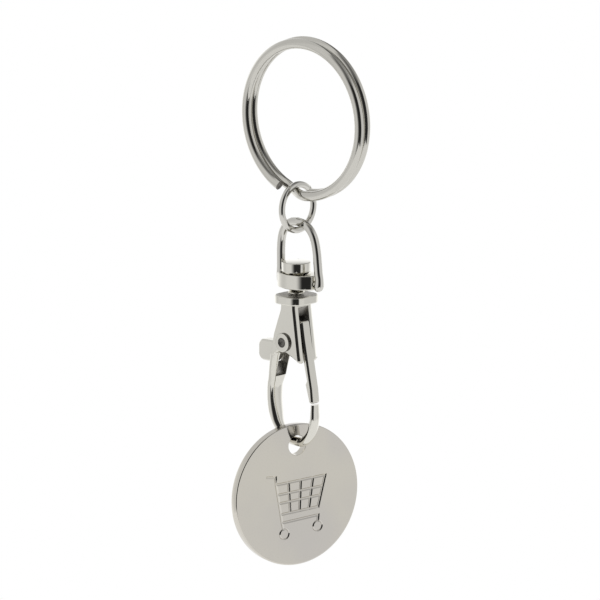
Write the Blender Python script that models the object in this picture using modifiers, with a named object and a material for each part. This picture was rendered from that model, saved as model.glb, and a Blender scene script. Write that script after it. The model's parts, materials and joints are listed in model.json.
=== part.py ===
"""A coin holder keyring: a split ring, a jump ring, a swivel with its bail, a trigger hook and a token.

Metres, +Z up. The origin is the point that the keyring hangs from, on the inner top of the split
ring. X lies in the plane of the hook and points to its gate, Y runs from the front to the back.
"""

import math

import bmesh
import bpy
import numpy as np
from mathutils import Matrix
from mathutils.bvhtree import BVHTree

MM = 0.001

# Split ring: flattened wire wound nearly twice round, which jogs across from one turn to the other
RING_OUTER_DIAMETER = 26.0 * MM
RING_WIRE_RADIAL = 1.45 * MM
RING_WIRE_AXIAL = 1.2 * MM
RING_WIRE_ROUNDING = 0.5 * MM
RING_TURN_GAP = 0.3 * MM
RING_OFFSET = 2.0 * MM
RING_POINTS_PER_TURN = 40
# Angles round the ring from its lowest point, positive towards +X
RING_FAR_END = math.radians(2.0)
RING_JOG_START = math.radians(-22.0)
RING_JOG_END = math.radians(4.0)
RING_NEAR_END = math.radians(-24.0)
# Stations nearer than this along the wire are neighbours, not a gap
RING_NEIGHBOUR_ANGLE = math.radians(90.0)

# Jump ring: round wire, its ends meeting at a butt joint
JUMP_OUTER_DIAMETER = 8.5 * MM
JUMP_WIRE_DIAMETER = 1.08 * MM
JUMP_BUTT_GAP = 0.2 * MM
JUMP_BUTT_ANGLE = math.radians(50.0)
JUMP_POINTS = 32

# Gap left where one link rests on another
LINK_GAP = 0.15 * MM

# Bail: round wire bow, with thinner ends bent in to be the pins of the collar
BAIL_WIRE_DIAMETER = 1.4 * MM
BAIL_INNER_HEIGHT = 8.95 * MM
BAIL_HALF_SPAN = 4.2 * MM
BAIL_SIDE_PLAY = 0.62 * MM
BAIL_LEAN = math.radians(1.9)
BAIL_PIN_DIAMETER = 1.0 * MM
BAIL_PIN_END = 1.85 * MM
BAIL_ELBOW_RISE = 0.75 * MM
BAIL_ELBOW_DROP = 0.4 * MM
BAIL_STEPS_PER_SPAN = 4
# The bow's half outline from the top of the elbow to the apex: share of the half span, of the height
BAIL_BOW_SHARES = (
    (0.97, 0.19),
    (0.95, 0.36),
    (0.93, 0.51),
    (0.877, 0.67),
    (0.775, 0.8),
    (0.585, 0.91),
    (0.31, 0.978),
    (0.0, 1.0),
)
BAIL_ELBOW_SWELL_SHARE = 1.1

# Swivel collar: a turned ring with two flats and a cross hole for the bail's ends
COLLAR_DIAMETER = 5.9 * MM
COLLAR_HEIGHT = 2.35 * MM
COLLAR_CHAMFER = 0.25 * MM
COLLAR_ACROSS_FLATS = 5.3 * MM
COLLAR_PIN_HEIGHT = 1.0 * MM
PIN_CLEARANCE = 0.24 * MM

# Swivel rivet: head, stem through the collar, flare, and shank in the hook's flange
STEM_DIAMETER = 1.9 * MM
STEM_CLEARANCE = 0.25 * MM
RIVET_HEAD_DIAMETER = 4.6 * MM
RIVET_HEAD_HEIGHT = 1.55 * MM
RIVET_HEAD_CHAMFER = 0.2 * MM
RIVET_HEAD_GAP = 0.25 * MM
FLARE_DIAMETER = 2.7 * MM
FLARE_HEIGHT = 0.6 * MM
SHANK_DIAMETER = 1.4 * MM
SHANK_LENGTH = 2.6 * MM
SHANK_CLEARANCE = 0.2 * MM
SEAT_GAP = 0.24 * MM

# Hook body. All outlines of the hook and its lever are shares of this width and length. The width
# runs from the back of the arm to the front of the tip, the length from under the flange to the
# bottom of the hook.
HOOK_WIDTH = 9.7 * MM
HOOK_LENGTH = 23.35 * MM
NECK_LENGTH = 1.2 * MM
FLANGE_WIDTH = 5.0 * MM
FLANGE_DEPTH = 5.6 * MM
FLANGE_THICKNESS = 1.3 * MM
FLANGE_CORNER = 0.8 * MM
FLANGE_BEVEL = 0.2 * MM
CHEEK_DEPTH = 4.2 * MM
CHEEK_BEVEL = 0.3 * MM
SLOT_WIDTH = 2.3 * MM
BAR_THICKNESS = 1.2 * MM
BAR_DEPTH = 1.8 * MM
BAR_SIDES = 16
BAR_STEPS_PER_SPAN = 2
BAR_SQUARENESS_SHARE = 0.55
CUT_OVERRUN = 1.0 * MM

# Outlines in the plane of the hook: share of the width, share of the length below the flange's
# underside, and corner radius as a share of the width
CHEEK_SHARES = (
    (-0.179, -0.02, 0.0),
    (-0.194, 0.045, 0.1),
    (-0.267, 0.126, 0.3),
    (-0.344, 0.216, 0.3),
    (-0.41, 0.345, 0.2),
    (-0.418, 0.39, 0.03),
    (-0.28, 0.39, 0.03),
    (-0.24, 0.357, 0.05),
    (-0.067, 0.353, 0.15),
    (0.082, 0.379, 0.3),
    (0.235, 0.413, 0.05),
    (0.278, 0.393, 0.06),
    (0.264, 0.36, 0.2),
    (0.21, 0.2, 0.5),
    (0.155, 0.036, 0.3),
    (0.15, -0.02, 0.0),
)
SLOT_SHARES = (
    (0.7, 0.021, 0.0),
    (0.15, 0.021, 0.03),
    (0.052, 0.101, 0.05),
    (-0.124, 0.113, 0.04),
    (-0.17, 0.143, 0.04),
    (-0.237, 0.212, 0.02),
    (-0.9, 0.212, 0.0),
    (-0.9, 0.456, 0.0),
    (-0.448, 0.456, 0.02),
    (-0.407, 0.533, 0.05),
    (0.7, 0.535, 0.0),
)
# The hook's bar from its root inside the cheeks, down the arm and round to the tip: share of the
# width, share of the length, and its thickness and depth as shares of the bar's
ARM_SHARES = (
    (-0.289, 0.315, 1.4, 2.2),
    (-0.35, 0.383, 1.45, 2.1),
    (-0.395, 0.46, 1.42, 1.9),
    (-0.422, 0.516, 1.42, 1.75),
    (-0.45, 0.56, 1.42, 1.62),
    (-0.477, 0.606, 1.2, 1.5),
    (-0.48, 0.7, 1.15, 1.4),
    (-0.445, 0.799, 1.12, 1.28),
    (-0.38, 0.879, 1.05, 1.1),
    (-0.247, 0.953, 0.9, 0.9),
    (-0.062, 0.974, 0.86, 0.82),
    (0.144, 0.965, 0.87, 0.86),
    (0.32, 0.89, 0.88, 0.98),
    (0.397, 0.799, 0.8, 0.94),
    (0.414, 0.735, 0.76, 0.87),
    (0.415, 0.692, 0.74, 0.84),
)

# Gate lever, one casting: thumb tab, hub and gate bar with a stepped end
LEVER_DEPTH = 1.6 * MM
LEVER_BEVEL = 0.18 * MM
LEVER_SHARES = (
    (-0.773, 0.293, 0.11),
    (-0.773, 0.439, 0.11),
    (-0.443, 0.439, 0.05),
    (-0.31, 0.375, 0.1),
    (-0.093, 0.353, 0.15),
    (0.103, 0.332, 0.1),
    (0.211, 0.358, 0.08),
    (0.309, 0.527, 0.03),
    (0.278, 0.553, 0.03),
    (0.366, 0.679, 0.02),
    (0.4, 0.679, 0.01),
    (0.406, 0.664, 0.01),
    (0.445, 0.664, 0.02),
    (0.425, 0.585, 0.3),
    (0.263, 0.246, 0.5),
    (0.211, 0.116, 0.05),
    (0.119, 0.122, 0.05),
    (0.031, 0.178, 0.1),
    (-0.103, 0.197, 0.1),
    (-0.247, 0.236, 0.1),
    (-0.371, 0.289, 0.08),
)

# Gate rivet, across the cheeks
GATE_RIVET_SHARES = (-0.093, 0.273)
GATE_RIVET_DIAMETER = 1.3 * MM
GATE_RIVET_HEAD = 3.5 * MM
GATE_RIVET_HEAD_HEIGHT = 0.4 * MM
GATE_RIVET_HEAD_ROUNDING = 0.15 * MM
GATE_RIVET_DIMPLE = 1.5 * MM
GATE_RIVET_DIMPLE_DEPTH = 0.3 * MM
GATE_RIVET_GAP = 0.15 * MM
GATE_RIVET_CLEARANCE = 0.2 * MM

# Gate spring: a leaf folded once, between the top of the slot and the lever's shoulder
SPRING_WIDTH = 1.6 * MM
SPRING_THICKNESS = 0.2 * MM
SPRING_SHARES = (
    (-0.115, 0.128, 0.0),
    (0.047, 0.12, 0.035),
    (0.047, 0.159, 0.035),
    (-0.18, 0.203, 0.0),
)

# Token, drawn as a coin with a hole near its rim that the hook's bar goes through
COIN_DIAMETER = 23.25 * MM
COIN_THICKNESS = 1.5 * MM
COIN_CHAMFER = 0.12 * MM
COIN_HOLE_DIAMETER = 3.25 * MM
COIN_HOLE_WEB = 1.85 * MM
COIN_REST_GAP = 0.4 * MM
COIN_PIVOT_RISE = 0.5 * MM
# The coin's faces look this far round from -Y towards +X
COIN_TURN = math.radians(75.4)
COIN_SEAT_SHARE = -0.034

ARC_STEPS = 4
ROUND_SIDES = 40
COIN_SIDES = 80
SMALL_ROUND_SIDES = 20
WELD = 0.001 * MM

# Places that follow from the sizes, down the chain from the hang point
RING_INNER_RADIUS = RING_OUTER_DIAMETER / 2 - RING_WIRE_RADIAL
RING_MID_RADIUS = RING_INNER_RADIUS + RING_WIRE_RADIAL / 2
RING_TURN_PITCH = RING_WIRE_AXIAL + RING_TURN_GAP
RING_CENTRE_Z = -math.sqrt(RING_INNER_RADIUS**2 - RING_OFFSET**2)
PIN_RADIUS = BAIL_PIN_DIAMETER / 2
BAIL_RADIUS = BAIL_WIRE_DIAMETER / 2
BAIL_HEIGHT = BAIL_INNER_HEIGHT + BAIL_RADIUS
LINK_X = BAIL_SIDE_PLAY - BAIL_HEIGHT * math.sin(BAIL_LEAN)
LINK_OFFSET = RING_OFFSET - LINK_X
JUMP_RADIUS = (JUMP_OUTER_DIAMETER - JUMP_WIRE_DIAMETER) / 2
JUMP_INNER_RADIUS = JUMP_RADIUS - JUMP_WIRE_DIAMETER / 2
JUMP_PIVOT_Z = RING_CENTRE_Z - math.sqrt(RING_MID_RADIUS**2 - LINK_OFFSET**2)
JUMP_CENTRE_Z = JUMP_PIVOT_Z + RING_WIRE_RADIAL / 2 + LINK_GAP - JUMP_INNER_RADIUS
BAIL_PIVOT_Z = JUMP_CENTRE_Z - JUMP_RADIUS
BAIL_APEX_Z = JUMP_CENTRE_Z - JUMP_INNER_RADIUS + LINK_GAP + BAIL_RADIUS
PIN_Z = BAIL_APEX_Z - BAIL_HEIGHT * math.cos(BAIL_LEAN)
COLLAR_BOTTOM_Z = PIN_Z - COLLAR_PIN_HEIGHT
COLLAR_TOP_Z = COLLAR_BOTTOM_Z + COLLAR_HEIGHT
FLANGE_TOP_Z = COLLAR_BOTTOM_Z - NECK_LENGTH
FLANGE_UNDER_Z = FLANGE_TOP_Z - FLANGE_THICKNESS
GATE_RIVET_X = GATE_RIVET_SHARES[0] * HOOK_WIDTH
GATE_RIVET_Z = FLANGE_UNDER_Z - GATE_RIVET_SHARES[1] * HOOK_LENGTH
BAR_BOTTOM_Z = FLANGE_UNDER_Z - HOOK_LENGTH
COIN_PIVOT_X = COIN_SEAT_SHARE * HOOK_WIDTH
COIN_PIVOT_Z = BAR_BOTTOM_Z + COIN_PIVOT_RISE
COIN_HOLE_TOP_Z = BAR_BOTTOM_Z + BAR_THICKNESS + COIN_REST_GAP
COIN_CENTRE_Z = COIN_HOLE_TOP_Z + COIN_HOLE_WEB - COIN_DIAMETER / 2


def clear_scene():
    """Take every object out of the open file."""
    for thing in list(bpy.data.objects):
        bpy.data.objects.remove(thing, do_unlink=True)


def new_collection(name):
    """A collection in the scene."""
    collection = bpy.data.collections.new(name)
    bpy.context.scene.collection.children.link(collection)
    return collection


def metal(name, colour, roughness):
    """A plated metal material."""
    material = bpy.data.materials.new(name)
    material.use_nodes = True
    shader = material.node_tree.nodes["Principled BSDF"]
    shader.inputs["Base Color"].default_value = (*colour, 1.0)
    shader.inputs["Metallic"].default_value = 1.0
    shader.inputs["Roughness"].default_value = roughness
    return material


def add_object(name, data, collection):
    """An object in a collection."""
    thing = bpy.data.objects.new(name, data)
    collection.objects.link(thing)
    return thing


def guide(thing):
    """Mark an object as a guide or cutter, which isn't a piece."""
    thing.hide_render = True
    thing.display_type = "WIRE"
    return thing


def hang_on_axis(piece, place, collection):
    """Parent a moving piece to an empty on its joint's axis, and leave the piece where it is."""
    axis = add_object(f"{piece.name}_axis", None, collection)
    axis.location = place
    bpy.context.view_layer.update()
    piece.parent = axis
    piece.matrix_parent_inverse = axis.matrix_world.inverted()


def smooth_rounds(thing, angle=math.radians(35.0)):
    """Shade a mesh smooth between its sharp edges."""
    thing.data.shade_smooth()
    thing.data.set_sharp_from_angle(angle=angle)


def as_mesh(thing, collection):
    """Turn a curve object into a closed mesh object in the same place, and remove the curve."""
    bpy.context.view_layer.update()
    graph = bpy.context.evaluated_depsgraph_get()
    mesh = bpy.data.meshes.new_from_object(thing.evaluated_get(graph))
    shape = bmesh.new()
    shape.from_mesh(mesh)
    bmesh.ops.remove_doubles(shape, verts=shape.verts, dist=WELD)
    bmesh.ops.recalc_face_normals(shape, faces=shape.faces)
    shape.to_mesh(mesh)
    shape.free()
    name = thing.name
    place = thing.matrix_world.copy()
    bpy.data.objects.remove(thing, do_unlink=True)
    solid = add_object(name, mesh, collection)
    solid.matrix_world = place
    return solid


def boolean(thing, other, operation):
    """Cut an object by another, or join them, with a live modifier."""
    modifier = thing.modifiers.new(f"{operation.lower()} {other.name}", "BOOLEAN")
    modifier.operation = operation
    modifier.object = other


def bevel(thing, width, segments=2):
    """Round an object's sharp edges."""
    modifier = thing.modifiers.new("edges", "BEVEL")
    modifier.width = width
    modifier.segments = segments
    modifier.limit_method = "ANGLE"
    modifier.angle_limit = math.radians(40.0)


def smooth_path(stations, steps):
    """A smooth curve through stations of any number of values, with a few steps in each span."""
    values = np.array(stations, dtype=float)
    padded = np.vstack([2 * values[0] - values[1], values, 2 * values[-1] - values[-2]])
    path = []
    for a, b, c, d in zip(padded, padded[1:], padded[2:], padded[3:]):
        for t in np.arange(steps) / steps:
            slope_in = (c - a) / 2
            slope_out = (d - b) / 2
            path.append(
                b * (2 * t**3 - 3 * t**2 + 1)
                + c * (3 * t**2 - 2 * t**3)
                + slope_in * (t**3 - 2 * t**2 + t)
                + slope_out * (t**3 - t**2)
            )
    path.append(values[-1])
    return np.array(path)


def rounded_outline(corners, closed=True):
    """Points of a flat outline whose corners (u, v, radius) are rounded by arcs."""
    points = []
    count = len(corners)
    for i, (u, v, radius) in enumerate(corners):
        here = np.array([u, v])
        if radius <= 0 or (not closed and i in (0, count - 1)):
            points.append(here)
            continue
        before = np.array(corners[i - 1][:2]) - here
        after = np.array(corners[(i + 1) % count][:2]) - here
        reach = min(np.linalg.norm(before), np.linalg.norm(after)) / 2
        before = before / np.linalg.norm(before)
        after = after / np.linalg.norm(after)
        half = math.acos(np.clip(before @ after, -1.0, 1.0)) / 2
        tangent = min(radius / math.tan(half), reach)
        true_radius = tangent * math.tan(half)
        middle = (before + after) / np.linalg.norm(before + after)
        centre = here + middle * true_radius / math.sin(half)
        start = here + before * tangent - centre
        end = here + after * tangent - centre
        turn = math.atan2(start[0] * end[1] - start[1] * end[0], start @ end)
        for step in range(ARC_STEPS + 1):
            angle = turn * step / ARC_STEPS
            cos, sin = math.cos(angle), math.sin(angle)
            points.append(centre + (start[0] * cos - start[1] * sin, start[0] * sin + start[1] * cos))
    return points


def hook_point(width_share, length_share):
    """A place in the plane of the hook, from its shares."""
    return width_share * HOOK_WIDTH, FLANGE_UNDER_Z - length_share * HOOK_LENGTH


def hook_outline(shares, closed=True):
    """A rounded outline in the plane of the hook, from its shares."""
    corners = [(*hook_point(u, v), radius * HOOK_WIDTH) for u, v, radius in shares]
    return rounded_outline(corners, closed)


def flat_plate(name, outline, depth, collection):
    """A solid of a flat outline in the XZ plane, centred on Y = 0."""
    curve = bpy.data.curves.new(name, "CURVE")
    curve.dimensions = "2D"
    curve.fill_mode = "BOTH"
    curve.extrude = depth / 2
    spline = curve.splines.new("POLY")
    spline.points.add(len(outline) - 1)
    for point, (u, v) in zip(spline.points, outline):
        point.co = (u, v, 0.0, 1.0)
    spline.use_cyclic_u = True
    thing = add_object(name, curve, collection)
    thing.rotation_euler.x = math.radians(90.0)
    return as_mesh(thing, collection)


def cylinder(name, radius, length, place, axis, collection, sides=SMALL_ROUND_SIDES):
    """A cylinder centred on a place, along X, Y or Z."""
    mesh = bpy.data.meshes.new(name)
    shape = bmesh.new()
    bmesh.ops.create_cone(
        shape, cap_ends=True, segments=sides, radius1=radius, radius2=radius, depth=length
    )
    turn = {"X": Matrix.Rotation(math.radians(90.0), 3, "Y"), "Z": Matrix.Identity(3)}
    turn["Y"] = Matrix.Rotation(math.radians(90.0), 3, "X")
    bmesh.ops.rotate(shape, verts=shape.verts, cent=(0, 0, 0), matrix=turn[axis])
    shape.to_mesh(mesh)
    shape.free()
    thing = add_object(name, mesh, collection)
    thing.location = place
    return thing


def turned(name, profile, collection, closed=False, sides=ROUND_SIDES):
    """A turned shape from its profile (radius, height), which runs down its outer side."""
    mesh = bpy.data.meshes.new(name)
    shape = bmesh.new()
    verts = [shape.verts.new((radius, 0.0, height)) for radius, height in profile]
    for a, b in zip(verts, verts[1:]):
        shape.edges.new((a, b))
    if closed:
        shape.edges.new((verts[-1], verts[0]))
    shape.to_mesh(mesh)
    shape.free()
    thing = add_object(name, mesh, collection)
    screw = thing.modifiers.new("turn", "SCREW")
    screw.steps = sides
    screw.render_steps = sides
    screw.use_merge_vertices = True
    screw.merge_threshold = WELD
    screw.use_smooth_shade = True
    return thing


def wire(name, points, radius, collection, factors=None, resolution=3):
    """A tube of round wire along points, whose radius can change from point to point."""
    curve = bpy.data.curves.new(name, "CURVE")
    curve.dimensions = "3D"
    curve.bevel_depth = radius
    curve.bevel_resolution = resolution
    curve.use_fill_caps = True
    spline = curve.splines.new("POLY")
    spline.points.add(len(points) - 1)
    for i, (point, place) in enumerate(zip(spline.points, points)):
        point.co = (*place, 1.0)
        point.radius = factors[i] if factors is not None else 1.0
    return add_object(name, curve, collection)


def ring_wire_section(collection):
    """The flattened section of the split ring's wire: radial along X, axial along Y."""
    half_radial = RING_WIRE_RADIAL / 2
    half_axial = RING_WIRE_AXIAL / 2
    corners = [
        (sx * half_radial, sy * half_axial, RING_WIRE_ROUNDING)
        for sx, sy in ((-1, -1), (-1, 1), (1, 1), (1, -1))
    ]
    curve = bpy.data.curves.new("ring_wire_section", "CURVE")
    curve.dimensions = "2D"
    curve.fill_mode = "NONE"
    outline = rounded_outline(corners)[:: ARC_STEPS // 2]
    spline = curve.splines.new("POLY")
    spline.points.add(len(outline) - 1)
    for point, (u, v) in zip(spline.points, outline):
        point.co = (u, v, 0.0, 1.0)
    spline.use_cyclic_u = True
    return guide(add_object("ring_wire_section", curve, collection))


def split_ring_points():
    """The middle of the wire, in the ring's own plane: from the far end, twice round to the near end."""
    turn = 2 * math.pi
    last = 2 * turn + RING_NEAR_END
    count = math.ceil((last - RING_FAR_END) / turn * RING_POINTS_PER_TURN)
    points = []
    for angle in np.linspace(RING_FAR_END, last, count + 1):
        along = (angle - turn - RING_JOG_START) / (RING_JOG_END - RING_JOG_START)
        along = min(max(along, 0.0), 1.0)
        across = along * along * (3 - 2 * along)
        height = RING_TURN_PITCH * (across - 1 / 2)
        points.append(
            (RING_MID_RADIUS * math.sin(angle), -RING_MID_RADIUS * math.cos(angle), height)
        )
    return points


def print_least_gap(thing, stations):
    """Print the least gap between the wire's surface and that of its other turn."""
    bpy.context.view_layer.update()
    graph = bpy.context.evaluated_depsgraph_get()
    mesh = thing.evaluated_get(graph).to_mesh()
    verts = np.array([v.co for v in mesh.vertices])
    middles = np.array(stations)
    station = np.argmin(np.linalg.norm(verts[:, None] - middles[None], axis=2), axis=1)
    halfway = len(stations) / 2
    neighbours = RING_NEIGHBOUR_ANGLE / (2 * math.pi) * RING_POINTS_PER_TURN
    faces = [tuple(face.vertices) for face in mesh.polygons]
    gaps = []
    for side in (-1, 1):
        other = [face for face in faces if all(side * (station[v] - halfway) < 0 for v in face)]
        tree = BVHTree.FromPolygons(verts.tolist(), other)
        for place, at in zip(verts, station):
            if side * (at - halfway) > neighbours:
                gaps.append(tree.find_nearest(place)[3])
    print(f"split_ring: least gap to itself {min(gaps) / MM:.3f} mm")


def make_split_ring(parts, cutters):
    """Two turns of flattened wire in one unbroken length, standing in the XZ plane."""
    points = split_ring_points()
    ring = wire("split_ring", points, 0.0, parts)
    ring.data.bevel_mode = "OBJECT"
    ring.data.bevel_object = ring_wire_section(cutters)
    ring.data.twist_mode = "Z_UP"
    ring.rotation_euler.x = math.radians(90.0)
    ring.location = (RING_OFFSET, 0.0, RING_CENTRE_Z)
    print_least_gap(ring, points)
    return ring


def make_jump_ring(parts):
    """A ring of round wire in the YZ plane, open by a hair at its butt joint."""
    half_gap = JUMP_BUTT_GAP / JUMP_RADIUS / 2
    angles = np.linspace(half_gap, 2 * math.pi - half_gap, JUMP_POINTS + 1) + JUMP_BUTT_ANGLE
    points = [(0.0, JUMP_RADIUS * math.cos(a), JUMP_RADIUS * math.sin(a)) for a in angles]
    ring = wire("jump_ring", points, JUMP_WIRE_DIAMETER / 2, parts)
    ring.location = (LINK_X, 0.0, JUMP_CENTRE_Z)
    return ring


def bail_stations():
    """Half of the bail's middle line, from the pin's inner end to the apex, with its radius share."""
    thin = PIN_RADIUS / BAIL_RADIUS
    inset = BAIL_ELBOW_RISE / 2
    stations = [
        (BAIL_PIN_END, 0.0, thin),
        ((BAIL_PIN_END + COLLAR_DIAMETER / 2) / 2, 0.0, thin),
        (BAIL_HALF_SPAN - 2 * inset, 0.0, thin),
        (BAIL_HALF_SPAN - inset / 2, -BAIL_ELBOW_DROP, BAIL_ELBOW_SWELL_SHARE),
        (BAIL_HALF_SPAN, BAIL_ELBOW_RISE, 1.0),
    ]
    stations += [(u * BAIL_HALF_SPAN, v * BAIL_HEIGHT, 1.0) for u, v in BAIL_BOW_SHARES]
    return stations


def make_bail(parts):
    """The wire bow. It hangs from the jump ring and leans within its play on the collar's pins."""
    half = smooth_path(bail_stations(), BAIL_STEPS_PER_SPAN)
    mirrored = half[-2::-1] * (-1, 1, 1)
    path = np.vstack([half, mirrored])
    points = [(x, 0.0, z) for x, z, _ in path]
    bail = wire("bail", points, BAIL_RADIUS, parts, factors=path[:, 2])
    bail.location = (BAIL_SIDE_PLAY, 0.0, PIN_Z)
    bail.rotation_euler.y = -BAIL_LEAN
    return bail


def make_collar(parts, cutters):
    """The swivel collar, bored for the stem and cross drilled for the bail's pins."""
    outer = COLLAR_DIAMETER / 2
    bore = STEM_DIAMETER / 2 + STEM_CLEARANCE
    profile = [
        (outer - COLLAR_CHAMFER, COLLAR_HEIGHT),
        (outer, COLLAR_HEIGHT - COLLAR_CHAMFER),
        (outer, COLLAR_CHAMFER),
        (outer - COLLAR_CHAMFER, 0.0),
        (bore, 0.0),
        (bore, COLLAR_HEIGHT),
    ]
    collar = turned("swivel_collar", profile, parts, closed=True)
    collar.location.z = COLLAR_BOTTOM_Z
    hole = cylinder(
        "collar_cross_hole",
        PIN_RADIUS + PIN_CLEARANCE,
        COLLAR_DIAMETER + 2 * CUT_OVERRUN,
        (0.0, 0.0, PIN_Z),
        "X",
        cutters,
    )
    boolean(collar, guide(hole), "DIFFERENCE")
    reach = outer + CUT_OVERRUN
    for side in (-1, 1):
        waste = [
            (side * across, height)
            for across, height in (
                (COLLAR_ACROSS_FLATS / 2, -CUT_OVERRUN),
                (reach, -CUT_OVERRUN),
                (reach, COLLAR_HEIGHT + CUT_OVERRUN),
                (COLLAR_ACROSS_FLATS / 2, COLLAR_HEIGHT + CUT_OVERRUN),
            )
        ]
        flat = flat_plate("collar_flat", waste, 2 * reach, cutters)
        flat.location.z = COLLAR_BOTTOM_Z
        boolean(collar, guide(flat), "DIFFERENCE")
    return collar


def make_swivel_rivet(parts):
    """The swivel's post: head above the collar, stem through it, flare and shank in the hook."""
    head_under = COLLAR_TOP_Z + RIVET_HEAD_GAP
    head_top = head_under + RIVET_HEAD_HEIGHT
    flare_under = FLANGE_TOP_Z + SEAT_GAP
    head = RIVET_HEAD_DIAMETER / 2
    stem = STEM_DIAMETER / 2
    flare = FLARE_DIAMETER / 2
    shank = SHANK_DIAMETER / 2
    profile = [
        (0.0, head_top),
        (head - RIVET_HEAD_CHAMFER, head_top),
        (head, head_top - RIVET_HEAD_CHAMFER),
        (head, head_under),
        (stem, head_under),
        (stem, flare_under + FLARE_HEIGHT),
        (flare, flare_under + FLARE_HEIGHT / 3),
        (flare, flare_under),
        (shank, flare_under),
        (shank, flare_under - SHANK_LENGTH),
        (0.0, flare_under - SHANK_LENGTH),
    ]
    return turned("swivel_rivet", profile, parts)


def bar_of_hook(collection):
    """The hook's arm, bottom and tip: a loft whose thickness and depth change along it."""
    stations = [
        (*hook_point(u, v), thick * BAR_THICKNESS, deep * BAR_DEPTH)
        for u, v, thick, deep in ARM_SHARES
    ]
    path = smooth_path(stations, BAR_STEPS_PER_SPAN)
    slopes = np.gradient(path[:, :2], axis=0)
    mesh = bpy.data.meshes.new("hook_bar")
    shape = bmesh.new()
    rings = []
    for (x, z, thick, deep), (dx, dz) in zip(path, slopes):
        length = math.hypot(dx, dz)
        across = (-dz / length, dx / length)
        ring = []
        for i in range(BAR_SIDES):
            angle = 2 * math.pi * (i + 1 / 2) / BAR_SIDES
            cos, sin = math.cos(angle), math.sin(angle)
            u = math.copysign(abs(cos) ** BAR_SQUARENESS_SHARE, cos) * thick / 2
            v = math.copysign(abs(sin) ** BAR_SQUARENESS_SHARE, sin) * deep / 2
            ring.append(shape.verts.new((x + across[0] * u, v, z + across[1] * u)))
        rings.append(ring)
    for ring, after in zip(rings, rings[1:]):
        for i in range(BAR_SIDES):
            j = (i + 1) % BAR_SIDES
            shape.faces.new((ring[i], ring[j], after[j], after[i]))
    shape.faces.new(reversed(rings[0]))
    shape.faces.new(rings[-1])
    bmesh.ops.recalc_face_normals(shape, faces=shape.faces)
    shape.to_mesh(mesh)
    shape.free()
    return guide(add_object("hook_bar", mesh, collection))


def flange_of_hook(collection):
    """The rounded block on top of the hook, under the swivel."""
    half_width = FLANGE_WIDTH / 2
    half_depth = FLANGE_DEPTH / 2
    corners = [
        (sx * half_width, sy * half_depth, FLANGE_CORNER)
        for sx, sy in ((-1, -1), (1, -1), (1, 1), (-1, 1))
    ]
    flange = flat_plate("hook_flange", rounded_outline(corners), FLANGE_THICKNESS, collection)
    flange.rotation_euler.x = 0.0
    flange.location.z = FLANGE_TOP_Z - FLANGE_THICKNESS / 2
    bevel(flange, FLANGE_BEVEL)
    return guide(flange)


def make_hook_body(parts, cutters):
    """The cast hook: flange, two cheeks with the slot between them, arm, bottom and tip."""
    body = flat_plate("hook_body", hook_outline(CHEEK_SHARES), CHEEK_DEPTH, parts)
    bevel(body, CHEEK_BEVEL)
    boolean(body, flange_of_hook(cutters), "UNION")
    boolean(body, bar_of_hook(cutters), "UNION")
    slot = flat_plate("hook_slot", hook_outline(SLOT_SHARES), SLOT_WIDTH, cutters)
    boolean(body, guide(slot), "DIFFERENCE")
    cross_hole = cylinder(
        "gate_rivet_hole",
        GATE_RIVET_DIAMETER / 2 + GATE_RIVET_CLEARANCE,
        CHEEK_DEPTH + 2 * CUT_OVERRUN,
        (GATE_RIVET_X, 0.0, GATE_RIVET_Z),
        "Y",
        cutters,
    )
    boolean(body, guide(cross_hole), "DIFFERENCE")
    bore_depth = SHANK_LENGTH - SEAT_GAP + SHANK_CLEARANCE
    shank_hole = cylinder(
        "shank_hole",
        SHANK_DIAMETER / 2 + SHANK_CLEARANCE,
        bore_depth + CUT_OVERRUN,
        (0.0, 0.0, FLANGE_TOP_Z + (CUT_OVERRUN - bore_depth) / 2),
        "Z",
        cutters,
    )
    boolean(body, guide(shank_hole), "DIFFERENCE")
    return body


def make_gate_lever(parts, cutters):
    """The lever in the slot: thumb tab at the back, hub on the rivet, gate bar at the front."""
    outline = hook_outline(LEVER_SHARES)
    outline = [(u - GATE_RIVET_X, v - GATE_RIVET_Z) for u, v in outline]
    lever = flat_plate("gate_lever", outline, LEVER_DEPTH, parts)
    lever.location = (GATE_RIVET_X, 0.0, GATE_RIVET_Z)
    bevel(lever, LEVER_BEVEL, segments=1)
    hole = cylinder(
        "lever_hole",
        GATE_RIVET_DIAMETER / 2 + GATE_RIVET_CLEARANCE,
        LEVER_DEPTH + 2 * CUT_OVERRUN,
        (GATE_RIVET_X, 0.0, GATE_RIVET_Z),
        "Y",
        cutters,
    )
    boolean(lever, guide(hole), "DIFFERENCE")
    return lever


def make_gate_rivet(parts):
    """The cross rivet, with a low round head on each side and a dimple in each head."""
    under = CHEEK_DEPTH / 2 + GATE_RIVET_GAP
    top = under + GATE_RIVET_HEAD_HEIGHT
    head = GATE_RIVET_HEAD / 2
    dimple = GATE_RIVET_DIMPLE / 2
    rounding = GATE_RIVET_HEAD_ROUNDING
    half = [
        (0.0, top - GATE_RIVET_DIMPLE_DEPTH),
        (dimple - GATE_RIVET_DIMPLE_DEPTH, top - GATE_RIVET_DIMPLE_DEPTH),
        (dimple, top),
        (head - rounding, top),
        (head, top - rounding),
        (head, under),
        (GATE_RIVET_DIAMETER / 2, under),
    ]
    profile = half + [(radius, -height) for radius, height in reversed(half)]
    rivet = turned("gate_rivet", profile, parts, sides=SMALL_ROUND_SIDES)
    rivet.location = (GATE_RIVET_X, 0.0, GATE_RIVET_Z)
    rivet.rotation_euler.x = math.radians(90.0)
    return rivet


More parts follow.
